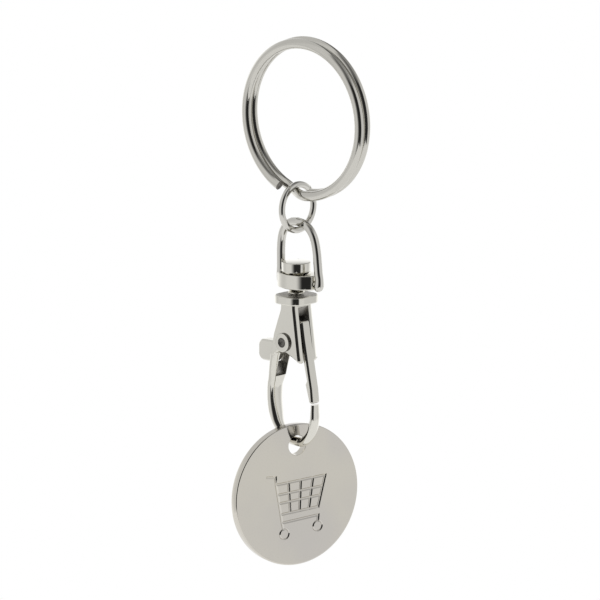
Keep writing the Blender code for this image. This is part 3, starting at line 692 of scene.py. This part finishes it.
class KEYRING_OT_split_ring(bpy.types.Operator):
    """Wind the split ring: two turns of flattened wire that jog across at the bottom"""

    bl_idname = "keyring.split_ring"
    bl_label = "Split ring"

    def execute(self, context):
        sizes = context.scene.keyring_sizes
        middle = sizes.ring_diameter / 2 - sizes.ring_radial / 2
        outline = power_section(
            RING_SECTION_POINTS, sizes.ring_radial, sizes.ring_axial, RING_SECTION_POWER
        )
        section = poly_curve("ring_section", outline, closed=True, flat=True)
        section.data.fill_mode = "NONE"
        last = 2 * FULL_TURN + RING_NEAR_END
        count = math.ceil((last - RING_FAR_END) / FULL_TURN * RING_POINTS_PER_TURN)
        points = []
        for angle in np.linspace(RING_FAR_END, last, count + 1):
            along = (angle - FULL_TURN - RING_JOG_START) / (RING_JOG_END - RING_JOG_START)
            along = min(max(along, 0.0), 1.0)
            across = along * along * (3 - 2 * along) - 0.5
            points.append((
                middle * math.sin(angle), -middle * math.cos(angle) - RING_CLIMB * across,
                sizes.ring_pitch * across,
            ))
        ring = wire("keyring_split_ring", points, 0.0, section=section)
        ring.rotation_euler = ALONG_Y
        ring.location = (RING_LOW + RING_HIGH) / 2
        settle(ring)
        metal = plated(
            "split ring plating", context.scene.keyring_finish.ring, clouding=0.35,
            roughness=0.09, haze=0.06, lines=0.06, waviness=0.35,
        )
        # The cut ends get a dark, rough, mottled plating: rough sheared steel, darkened further as
        # painted shade on the caps.
        sheared_and_painted_shade = plated(
            "rough wire end with painted shade", (0.3, 0.285, 0.265), clouding=0.8, cloud_scale=900.0,
            roughness=0.38, haze=0.2, lines=0.3, waviness=1.5, cloud_colour=(0.1, 0.095, 0.09),
        )
        finish_piece(
            ring, "ring", "ring_wire", metal, "split_ring", angle=WIRE_SMOOTH_ANGLE,
            other=sheared_and_painted_shade, takes_other=is_cut_end,
        )
        return {"FINISHED"}


class KEYRING_OT_jump_ring(bpy.types.Operator):
    """Bend the jump ring: a round wire ring that is open by a hair at its butt joint"""

    bl_idname = "keyring.jump_ring"
    bl_label = "Jump ring"

    def execute(self, context):
        radius = context.scene.keyring_sizes.jump_wire / 2
        middle = (JUMP_HIGH.z - JUMP_LOW.z) / 2 - radius
        butt, gap = math.radians(50.0), 0.1 * MM
        half_gap = gap / 2 / middle
        angles = np.linspace(half_gap, FULL_TURN - half_gap, 121) + butt
        points = [(0.0, middle * math.cos(a), middle * math.sin(a)) for a in angles]
        ring = wire("keyring_jump_ring", points, radius)
        ring.location = (JUMP_LOW + JUMP_HIGH) / 2
        settle(ring)
        metal = plated(
            "jump ring plating", context.scene.keyring_finish.wire, haze=0.06, waviness=0.35
        )
        finish_piece(ring, "link", "link_wire", metal, "jump_ring", angle=WIRE_SMOOTH_ANGLE)
        return {"FINISHED"}


class KEYRING_OT_bail(bpy.types.Operator):
    """Bend the bail: a wire bow whose thinner ends turn inwards into the collar"""

    bl_idname = "keyring.bail"
    bl_label = "Bail"

    def execute(self, context):
        radius = context.scene.keyring_sizes.bail_wire / 2
        half_span, height = 4.2 * MM, 8.95 * MM + radius
        pin_radius, pin_end, pin_neck = 0.5 * MM, 1.85 * MM, 2.4 * MM
        rise, drop, swell = 0.75 * MM, 0.4 * MM, 1.1
        foot_play, lean = 0.85 * MM, 0.055
        thin = pin_radius / radius
        stations = [
            (pin_end, 0.0, thin), (pin_neck, 0.0, thin), (half_span - rise, 0.0, thin),
            (half_span - rise / 4, -drop, swell), (half_span, rise, 1.0),
        ]
        stations += [(u * half_span, v * height, 1.0) for u, v in BAIL_SHARES]
        half = smooth_path(stations, 12)
        path = np.vstack([half, half[-2::-1] * (-1, 1, 1)])
        points = [(x - lean * max(z, 0.0), 0.0, z) for x, z, _ in path]
        bail = wire("keyring_bail", points, radius, factors=path[:, 2])
        bail.location = (foot_play, 0.0, PIN_JOINT.z)
        settle(bail)
        metal = plated(
            "bail plating", context.scene.keyring_finish.wire, roughness=0.06, haze=0.06,
            waviness=0.4,
        )
        finish_piece(bail, "bow", "link_wire", metal, "bail", angle=WIRE_SMOOTH_ANGLE)
        return {"FINISHED"}


def collar_outline():
    """The collar's outline from above: flat in front, with a lobe at the right."""
    right = [point for arc in COLLAR_RIGHT_ARCS for point in arc_points(*arc)]
    left = [
        (max(-x, -COLLAR_LEFT_REACH), y) for arc in COLLAR_LEFT_ARCS for x, y in arc_points(*arc)
    ]
    back = [(x, -y) for x, y in reversed(right[1:])] + [(x, -y) for x, y in reversed(left)]
    return right + back + left


class KEYRING_OT_swivel(bpy.types.Operator):
    """Turn the swivel: the collar on the bail's pins, and the headed rivet through it"""

    bl_idname = "keyring.swivel"
    bl_label = "Swivel"

    def execute(self, context):
        plating = context.scene.keyring_finish.plating
        height = COLLAR_HIGH.z - COLLAR_LOW.z
        middle = (COLLAR_OFFSET, 0.0, (COLLAR_LOW.z + COLLAR_HIGH.z) / 2)
        collar = plate("keyring_swivel_collar", collar_outline(), height, rounding=0.22 * MM)
        collar.rotation_euler.x = math.radians(-90.0)
        collar.location = middle
        settle(collar)
        drill(collar, radius=1.6 * MM, length=5 * MM, place=middle)
        pin_hole = (0, 0, PIN_JOINT.z)
        drill(collar, radius=0.54 * MM, length=12 * MM, place=pin_hole, turn=ALONG_X)
        metal = plated("swivel plating", plating, roughness=0.06, lines=0.04)
        finish_piece(collar, "collar", "swivel_metal", metal, "swivel_collar", weighted=True)

        head, stem, flare, shank = 2.36 * MM, 0.95 * MM, 1.35 * MM, 0.7 * MM
        head_gap, seat_gap, flare_rim, flare_rise = 0.25 * MM, 0.24 * MM, 0.2 * MM, 0.6 * MM
        tip_edge, seat_edge, slope_edge = 0.05 * MM, 0.04 * MM, 0.1 * MM
        neck_edge, head_foot_edge, head_edge = 0.06 * MM, 0.12 * MM, 0.2 * MM
        top, foot = RIVET_HIGH.z, RIVET_LOW.z
        under, seat = COLLAR_HIGH.z + head_gap, HOOK_TOP + seat_gap
        profile = rounded_profile([
            (0.0, foot, 0.0), (shank, foot, tip_edge), (shank, seat, 0.0), (flare, seat, seat_edge),
            (flare, seat + flare_rim, slope_edge), (stem, seat + flare_rise, slope_edge),
            (stem, under, neck_edge), (head, under, head_foot_edge), (head, top, head_edge),
            (0.0, top, 0.0),
        ])
        rivet = turned("keyring_swivel_rivet", profile)
        metal = plated("swivel rivet plating", plating, roughness=0.06, lines=0.03)
        finish_piece(rivet, "hook", "swivel_metal", metal, "swivel_rivet")
        return {"FINISHED"}


def outline_distance(outline, place):
    """How far a place lies from a closed outline."""
    along = np.roll(outline, -1, axis=0) - outline
    share = np.sum((place - outline) * along, axis=1) / np.sum(along**2, axis=1)
    nearest = outline + along * np.clip(share, 0.0, 1.0)[:, None]
    return np.min(norm(nearest - place, axis=1))


def hook_bar():
    """The hook's arm, bottom and tip: a loft whose thickness and depth change along it."""
    path = smooth_path([
        (*hook_point(u, v), thick * BAR_THICKNESS, deep * BAR_DEPTH, power)
        for u, v, thick, deep, power in BAR_SHARES
    ], 8)
    rings = []
    for (x, z, thick, deep, power), (dx, dz) in zip(path, np.gradient(path[:, :2], axis=0)):
        length = math.hypot(dx, dz)
        rings.append([
            (x - dz / length * u, v, z + dx / length * u)
            for u, v in power_section(BAR_SECTION_POINTS, thick, deep, power, 0.5)
        ])
    return loft("hook_bar", rings)


def hook_flange():
    """The plate on top of the hook, an oblong with widely rounded corners."""
    half_width, half_depth, corner = 2.91 * MM, 3.25 * MM, 2.1 * MM
    corners = [
        (sx * half_width, sy * half_depth, corner)
        for sx, sy in ((-1, -1), (1, -1), (1, 1), (-1, 1))
    ]
    flange = plate("flange", rounded_outline(corners, 16), FLANGE_THICKNESS, rounding=0.22 * MM)
    flange.rotation_euler.x = math.radians(-90.0)
    flange.location.z = HOOK_TOP - FLANGE_THICKNESS / 2
    return settle(flange)


class KEYRING_OT_hook(bpy.types.Operator):
    """Cast the hook: flange, two cheeks with the slot between them, arm, bottom and tip"""

    bl_idname = "keyring.hook"
    bl_label = "Hook"

    def execute(self, context):
        back_shift, shank_rise = 0.15 * MM, 0.44 * MM
        body = crowned_plate(
            "keyring_hook_body", hook_corners(CHEEK_SHARES), depth=4.5 * MM, radius=1.2 * MM,
            start=38.0, end=90.0,
        )
        body.location.y = back_shift
        settle(body)
        slot = plate("slot", hook_outline(SLOT_SHARES), SLOT_WIDTH)
        cut(body, hook_bar(), "UNION")
        cut(body, slot)
        cut(body, hook_flange(), "UNION")
        drill(body, GATE_HOLE_RADIUS, length=8 * MM, place=GATE_JOINT, turn=ALONG_Y)
        drill(body, radius=0.9 * MM, length=6 * MM, place=(0, 0, HOOK_TOP + shank_rise))
        clean(body, weld=0.01 * MM)
        metal = plated(
            "hook plating", context.scene.keyring_finish.plating, lines=0.04, waviness=0.5
        )
        # The slot's walls and the flange's top get a rougher plating whose darker colour is painted
        # shade, in the slot and under the collar.
        slot_painted_shade = plated(
            "slot painted shade plating", (0.48, 0.465, 0.43), clouding=0.5, roughness=0.42, haze=0.12,
            lines=0.1,
        )
        walls = np.array(hook_outline(SLOT_SHARES))
        half_slot, flat = SLOT_WIDTH / 2, 0.99
        near, wall_near, top_near = 0.01 * MM, 0.03 * MM, 0.05 * MM

        def is_slot_painted_shade(face):
            """Whether a face is the flange's top or a wall of the slot, which are darkened as
            painted shade.
            """
            x, y, z = face.center
            if face.normal.z > flat and z > HOOK_TOP - top_near:
                return True
            if abs(y) > half_slot + near:
                return False
            cheek_side = abs(abs(y) - half_slot) < near and abs(face.normal.y) > flat
            return cheek_side or outline_distance(walls, (x, z)) < wall_near

        finish_piece(
            body, "hook", "hook_metal", metal, "hook_body", weighted=True, other=slot_painted_shade,
            takes_other=is_slot_painted_shade,
        )
        return {"FINISHED"}


def strip_outline(line, thickness):
    """The closed outline of a strip along a line."""
    line = np.array(line)
    slopes = np.gradient(line, axis=0)
    slopes /= norm(slopes, axis=1)[:, None]
    side = np.column_stack([-slopes[:, 1], slopes[:, 0]]) * thickness / 2
    return list(line + side) + list((line - side)[::-1])


class KEYRING_OT_gate(bpy.types.Operator):
    """Make the gate: the lever with its thumb tab, the cross rivet and the leaf spring"""

    bl_idname = "keyring.gate"
    bl_label = "Gate"

    def execute(self, context):
        finish = context.scene.keyring_finish
        lever = crowned_plate(
            "keyring_gate_lever", hook_corners(LEVER_SHARES), depth=1.94 * MM, radius=1.05 * MM,
            start=36.0, end=56.0,
        )
        drill(lever, GATE_HOLE_RADIUS, length=4 * MM, place=GATE_JOINT, turn=ALONG_Y)
        metal = plated("lever plating", finish.plating, lines=0.04, waviness=0.4)
        finish_piece(lever, "gate", "hook_metal", metal, "gate_lever", weighted=True)

        head, top, under, shaft = 1.52 * MM, 2.5 * MM, 2.12 * MM, 0.65 * MM
        dimple, hollow = 0.8 * MM, 0.86 * MM
        rim, foot, fillet, near = 0.08 * MM, 0.03 * MM, 0.05 * MM, 0.02 * MM
        half = [
            (r, top + math.sqrt(hollow**2 - dimple**2) - math.sqrt(hollow**2 - r**2), 0.0)
            for r in np.linspace(0.0, dimple, 9)
        ]
        half += [(head, top, rim), (head, under, foot), (shaft, under, fillet)]
        profile = rounded_profile(half + [(r, -h, c) for r, h, c in reversed(half)])
        rivet = turned("keyring_gate_rivet", profile, 64)
        rivet.rotation_euler = ALONG_Y
        rivet.location = GATE_JOINT
        settle(rivet)
        metal = plated("gate rivet plating", finish.plating, roughness=0.08, haze=0.06, lines=0.04)
        # The hollow and the head's side get a dark, rough plating: painted shade in the hollow and
        # in the gap round the head.
        rivet_painted_shade = plated("rivet hollow painted shade", (0.28, 0.27, 0.25), roughness=0.55, haze=0.1, lines=0.1)

        def is_rivet_painted_shade(face):
            """Whether a face is in the hollow left by the punch or on the head's side, which are
            darkened as painted shade.
            """
            x, y, z = face.center
            out = math.hypot(x - GATE_JOINT.x, z - GATE_JOINT.z)
            in_hollow = out < dimple and abs(y) > top - hollow
            return in_hollow or (out > head - near and abs(y) > under)

        finish_piece(
            rivet, "hook", "rivet_metal", metal, "gate_rivet", other=rivet_painted_shade, takes_other=is_rivet_painted_shade
        )

        line = hook_outline(SPRING_SHARES, 6, closed=False)
        leaf = strip_outline(line, thickness=0.2 * MM)
        spring = plate("keyring_gate_spring", leaf, depth=1.6 * MM)
        modify(
            spring, "BEVEL", width=0.04 * MM, segments=2, limit_method="ANGLE",
            angle_limit=math.radians(35.0), harden_normals=False, miter_outer="MITER_ARC",
        )
        metal = plated("spring steel", finish.spring, roughness=0.22, haze=0.1, lines=0.1)
        finish_piece(spring, "hook", "spring_steel", metal, "gate_spring")
        return {"FINISHED"}


# The trolley on the token's face, in millimetres from its centre
TROLLEY_TOP = ((-4.0, 2.07), (5.32, 2.58))
TROLLEY_LOW = ((-3.12, -2.93), (3.98, -2.5))
TROLLEY_COLUMNS = 4
TROLLEY_ROW_SHARES = (0.0, 0.34, 0.63, 1.0)
TROLLEY_HANDLE, TROLLEY_KNEE = (-5.6, 3.52), (-4.13, 3.34)
TROLLEY_FEET = ((-2.9, -4.35), (4.0, -3.87))
TROLLEY_WHEELS = ((-2.45, -6.22), (3.87, -5.67))
WHEEL_RADIUS = 0.85
WHEEL_WIDTH_SHARE = 0.6
GROOVE_DEPTH = 0.14 * MM
GROOVE_SLOPE = 0.19 * MM


def groove(start, end, width):
    """A cutter for a straight groove with sloping walls, reaching above and below Z = 0."""
    start, end = Vector((*start, 0.0)), Vector((*end, 0.0))
    along = (end - start).normalized()
    side = Vector((-along.y, along.x, 0.0))
    thing = added(bpy.ops.mesh.primitive_cube_add, "groove", size=1.0)
    for vertex in thing.data.vertices:
        x, y, z = (math.copysign(1.0, value) for value in vertex.co)
        half = width / 2 + z * GROOVE_SLOPE
        end_point = end if x > 0 else start
        vertex.co = end_point + (along * x + side * y) * half + Vector((0.0, 0.0, z * GROOVE_DEPTH))
    return clean(thing)


def ring_groove(centre, radius, width):
    """A cutter for a round groove with sloping walls."""
    deep, wide = width / 2 - GROOVE_SLOPE, width / 2 + GROOVE_SLOPE
    profile = [
        (radius - deep, -GROOVE_DEPTH), (radius + deep, -GROOVE_DEPTH),
        (radius + wide, GROOVE_DEPTH), (radius - wide, GROOVE_DEPTH),
    ]
    thing = turned("wheel", profile, 48)
    thing.location = (*centre, 0.0)
    return settle(thing)


def trolley_grooves(width):
    """Cutters for a shopping trolley seen from the side."""
    tools = []

    def line(a, b):
        tools.append(groove(a * MM, b * MM, width))

    top_left, top_right = map(Vector, TROLLEY_TOP)
    low_left, low_right = map(Vector, TROLLEY_LOW)
    handle, knee = Vector(TROLLEY_HANDLE), Vector(TROLLEY_KNEE)
    feet = list(map(Vector, TROLLEY_FEET))
    for i in range(TROLLEY_COLUMNS + 1):
        share = i / TROLLEY_COLUMNS
        line(top_left.lerp(top_right, share), low_left.lerp(low_right, share))
    for share in TROLLEY_ROW_SHARES:
        line(top_left.lerp(low_left, share), top_right.lerp(low_right, share))
    line(handle, knee)
    line(knee, top_left)
    line(low_left, feet[0])
    line(*feet)
    for foot, hub in zip(feet, map(Vector, TROLLEY_WHEELS)):
        line(foot, hub + (foot - hub).normalized() * WHEEL_RADIUS)
        tools.append(ring_groove(hub * MM, WHEEL_RADIUS * MM, width * WHEEL_WIDTH_SHARE))
    return tools


class KEYRING_OT_coin(bpy.types.Operator):
    """Stamp the token: a disc with a hole near its rim and a trolley pressed into its face"""

    bl_idname = "keyring.coin"
    bl_label = "Token"

    def execute(self, context):
        sizes = context.scene.keyring_sizes
        radius, half = sizes.coin_diameter / 2, sizes.coin_thickness / 2
        rounding, hole_radius, web = 0.24 * MM, 1.625 * MM, 1.85 * MM
        chamfer, edge = 0.05 * MM, 0.03 * MM
        profile = rounded_profile([
            (0.0, -half, 0.0), (radius, -half, rounding), (radius, half, rounding), (0.0, half, 0.0)
        ], 6)
        coin = turned("keyring_coin", profile, 192)
        wide = hole_radius + chamfer
        hole_profile = rounded_profile([
            (0.0, -2 * half, 0.0), (wide, -2 * half, 0.0), (wide, -half, 0.0),
            (hole_radius, chamfer - half, edge), (hole_radius, half - chamfer, edge),
            (wide, half, 0.0), (wide, 2 * half, 0.0), (0.0, 2 * half, 0.0),
        ])
        hole = turned("hole", hole_profile, 64)
        hole.location.y = radius - web - hole_radius
        cut(coin, settle(hole))
        tools = trolley_grooves(sizes.groove_width)
        bpy.ops.object.select_all(action="DESELECT")
        for tool in tools:
            tool.location.z = half
            tool.select_set(True)
        bpy.context.view_layer.objects.active = tools[0]
        bpy.ops.object.join()
        cut(coin, settle(tools[0]), crossing=True)
        up = Vector((0.0, 0.0, 1.0))
        side = up.cross(COIN_NORMAL).normalized()
        turn = Matrix((side, up, COIN_NORMAL)).transposed().to_4x4()
        coin.matrix_world = Matrix.Translation((COIN_LOW + COIN_HIGH) / 2) @ turn
        settle(coin)
        clean(coin, weld=0.002 * MM)
        metal = plated(
            "token face", context.scene.keyring_finish.token, clouding=0.8, cloud_scale=70.0,
            haze=0.03, lines=0.03, waviness=0.25, cloud_colour=(0.615, 0.59, 0.56),
        )
        finish_piece(
            coin, "token", "coin_metal", metal, "coin", angle=math.radians(25.0), weighted=True
        )
        return {"FINISHED"}


# Stage

# The photograph's width, the swivel's axis across it and its scale, in pixels, and the camera
# fitted to it
PHOTO_WIDTH, AXIS_PIXEL, PIXELS_PER_MM = 600.0, 296.3, 6.264
CAMERA_TURN = math.radians(43.0)
CAMERA_RISE = math.radians(11.811)
CAMERA_DISTANCE = 863.8 * MM
FRAME_WIDTH = PHOTO_WIDTH / PIXELS_PER_MM * MM
FRAME_SHIFT = (PHOTO_WIDTH / 2 - AXIS_PIXEL) / PHOTO_WIDTH
SENSOR = 36.0
TARGET_BELOW_PIN = 3.15 * MM

# The light tent, in degrees from the camera's side, positive to its right, and from the horizon.
# In each pair the window, glow or shadow grows from nothing to full, or fades from full
WINDOW_LEFT, WINDOW_RIGHT = (-48.0, -12.0), (30.0, 40.0)
WINDOW_BOTTOM, WINDOW_TOP = (-50.0, -40.0), (34.0, 54.0)
WINDOW_LEVEL, WINDOW_SHARE_ABOVE = 0.025, 0.6
WALL_SIDES, WALL_LEVELS = (80.0, 98.0), (0.82, 0.72)
GLOW_SIDES, GLOW_BOTTOM, GLOW_TOP = (104.0, 140.0), (-32.0, -20.0), (0.0, 30.0)
GLOW_LEVEL = 0.5
# Shadows run on through the back, so their sides are counted from -120 to 240 degrees: where each
# begins and rises, and the share of light that it takes
WRAPPED = (240.0, -120.0)
SHADOW_END = (174.0, 190.0)
SHADOWS = (
    ((100.0, 160.0), (10.0, 36.0), 0.6),
    ((-65.0, -35.0), (36.0, 54.0), 0.5),
)

FLOOR_SIZE, FLOOR_DROP = 0.8, 0.16
FLOOR_GLOW_SHARE = 0.92


def world_nodes(world, backdrop):
    """A pale tent of light with a dark window on the camera's side, for the metal to mirror."""
    world.use_nodes = True
    tree = world.node_tree
    nodes, links = tree.nodes, tree.links
    nodes.clear()
    back = nodes.new("ShaderNodeBackground")
    back.inputs["Color"].default_value = (*backdrop, 1.0)
    links.new(back.outputs[0], nodes.new("ShaderNodeOutputWorld").inputs["Surface"])
    turn = nodes.new("ShaderNodeMapping")
    turn.inputs["Rotation"].default_value = (0.0, 0.0, math.radians(90.0) - CAMERA_TURN)
    links.new(nodes.new("ShaderNodeTexCoord").outputs["Generated"], turn.inputs["Vector"])
    parts = nodes.new("ShaderNodeSeparateXYZ")
    links.new(turn.outputs["Vector"], parts.inputs[0])

    def times(a, b):
        return math_node(tree, "MULTIPLY", a, b)

    def step(value, limits, before=0.0, after=1.0):
        return step_node(tree, value, *map(math.radians, limits), before, after)

    azimuth = math_node(tree, "ARCTAN2", parts.outputs["Y"], parts.outputs["X"])
    rise = math_node(tree, "ARCSINE", parts.outputs["Z"])
    window = times(step(azimuth, WINDOW_LEFT), step(azimuth, WINDOW_RIGHT, 1.0, 0.0))
    upright = times(step(rise, WINDOW_BOTTOM), step(rise, WINDOW_TOP, 1.0, WINDOW_SHARE_ABOVE))
    window = times(window, upright)
    away = math_node(tree, "ABSOLUTE", azimuth)
    glow = times(step(rise, GLOW_BOTTOM), step(rise, GLOW_TOP, 1.0, 0.0))
    glow = times(times(step(away, GLOW_SIDES), glow), GLOW_LEVEL)
    level = math_node(tree, "ADD", step(away, WALL_SIDES, *WALL_LEVELS), glow)
    wrapped = math_node(tree, "WRAP", azimuth, *map(math.radians, WRAPPED))
    end = step(wrapped, SHADOW_END, 1.0, 0.0)
    for sides, rises, share in SHADOWS:
        shadow = times(times(times(step(wrapped, sides), step(rise, rises)), end), share)
        level = times(level, math_node(tree, "SUBTRACT", 1.0, shadow))
    mirrored = mix_node(tree, "FLOAT", window, level, WINDOW_LEVEL)
    camera_ray = nodes.new("ShaderNodeLightPath").outputs["Is Camera Ray"]
    links.new(mix_node(tree, "FLOAT", camera_ray, mirrored, 1.0), back.inputs["Strength"])


def floor_material(backdrop):
    """A matt floor that glows almost as the backdrop, where it is seen directly or mirrored."""
    material = bpy.data.materials.new("floor white")
    material.use_nodes = True
    tree = material.node_tree
    nodes, links = tree.nodes, tree.links
    shader = nodes["Principled BSDF"]
    shader.inputs["Base Color"].default_value = (*backdrop, 1.0)
    shader.inputs["Roughness"].default_value = 0.9
    glow = nodes.new("ShaderNodeEmission")
    glow.inputs["Color"].default_value = (*backdrop, 1.0)
    rays = nodes.new("ShaderNodeLightPath").outputs
    seen = math_node(tree, "MAXIMUM", rays["Is Camera Ray"], rays["Is Glossy Ray"])
    seen = math_node(tree, "MAXIMUM", seen, rays["Is Transmission Ray"])
    mix = nodes.new("ShaderNodeMixShader")
    links.new(math_node(tree, "MULTIPLY", seen, FLOOR_GLOW_SHARE), mix.inputs["Fac"])
    links.new(shader.outputs[0], mix.inputs[1])
    links.new(glow.outputs[0], mix.inputs[2])
    links.new(mix.outputs[0], nodes["Material Output"].inputs["Surface"])
    return material


class KEYRING_OT_stage(bpy.types.Operator):
    """Set the floor, the light and the camera"""

    bl_idname = "keyring.stage"
    bl_label = "Stage"

    def execute(self, context):
        scene = context.scene
        backdrop = scene.keyring_finish.backdrop
        scene.view_settings.view_transform = "Standard"
        scene.world = bpy.data.worlds.new("light tent")
        world_nodes(scene.world, backdrop)

        floor = added(
            bpy.ops.mesh.primitive_plane_add, "floor", size=FLOOR_SIZE,
            location=(0.0, 0.0, COIN_LOW.z - FLOOR_DROP),
        )
        floor.data.materials.append(floor_material(backdrop))

        out = Vector((
            math.sin(CAMERA_TURN) * math.cos(CAMERA_RISE),
            -math.cos(CAMERA_TURN) * math.cos(CAMERA_RISE),
            math.sin(CAMERA_RISE),
        ))
        target = Vector((0.0, 0.0, PIN_JOINT.z - TARGET_BELOW_PIN))
        camera = added(
            bpy.ops.object.camera_add, "camera", location=target + out * CAMERA_DISTANCE,
            rotation=out.to_track_quat("Z", "Y").to_euler(),
        )
        camera.data.sensor_width = SENSOR
        camera.data.lens = SENSOR * CAMERA_DISTANCE / FRAME_WIDTH
        camera.data.shift_x = FRAME_SHIFT
        scene.camera = camera
        return {"FINISHED"}


class KEYRING_PT_panel(bpy.types.Panel):
    """The keyring's pieces, sizes and colours"""

    bl_idname = "KEYRING_PT_panel"
    bl_label = "Coin holder keyring"
    bl_space_type = "VIEW_3D"
    bl_region_type = "UI"
    bl_category = "Keyring"

    def draw(self, context):
        column = self.layout.column()
        for group in (context.scene.keyring_sizes, context.scene.keyring_finish):
            for name in group.__annotations__:
                column.prop(group, name)
        for operator in OPERATORS:
            column.operator(operator.bl_idname)


OPERATORS = (
    KEYRING_OT_split_ring,
    KEYRING_OT_jump_ring,
    KEYRING_OT_bail,
    KEYRING_OT_swivel,
    KEYRING_OT_hook,
    KEYRING_OT_gate,
    KEYRING_OT_coin,
    KEYRING_OT_stage,
)
CLASSES = (KeyringSizes, KeyringFinish, *OPERATORS, KEYRING_PT_panel)


def register():
    for cls in CLASSES:
        bpy.utils.register_class(cls)
    bpy.types.Scene.keyring_sizes = bpy.props.PointerProperty(type=KeyringSizes)
    bpy.types.Scene.keyring_finish = bpy.props.PointerProperty(type=KeyringFinish)


def unregister():
    del bpy.types.Scene.keyring_finish
    del bpy.types.Scene.keyring_sizes
    for cls in reversed(CLASSES):
        bpy.utils.unregister_class(cls)


def main():
    register()
    bpy.ops.keyring.split_ring()
    bpy.ops.keyring.jump_ring()
    bpy.ops.keyring.bail()
    bpy.ops.keyring.swivel()
    bpy.ops.keyring.hook()
    bpy.ops.keyring.gate()
    bpy.ops.keyring.coin()
    bpy.ops.keyring.stage()


if __name__ == "__main__":
    main()
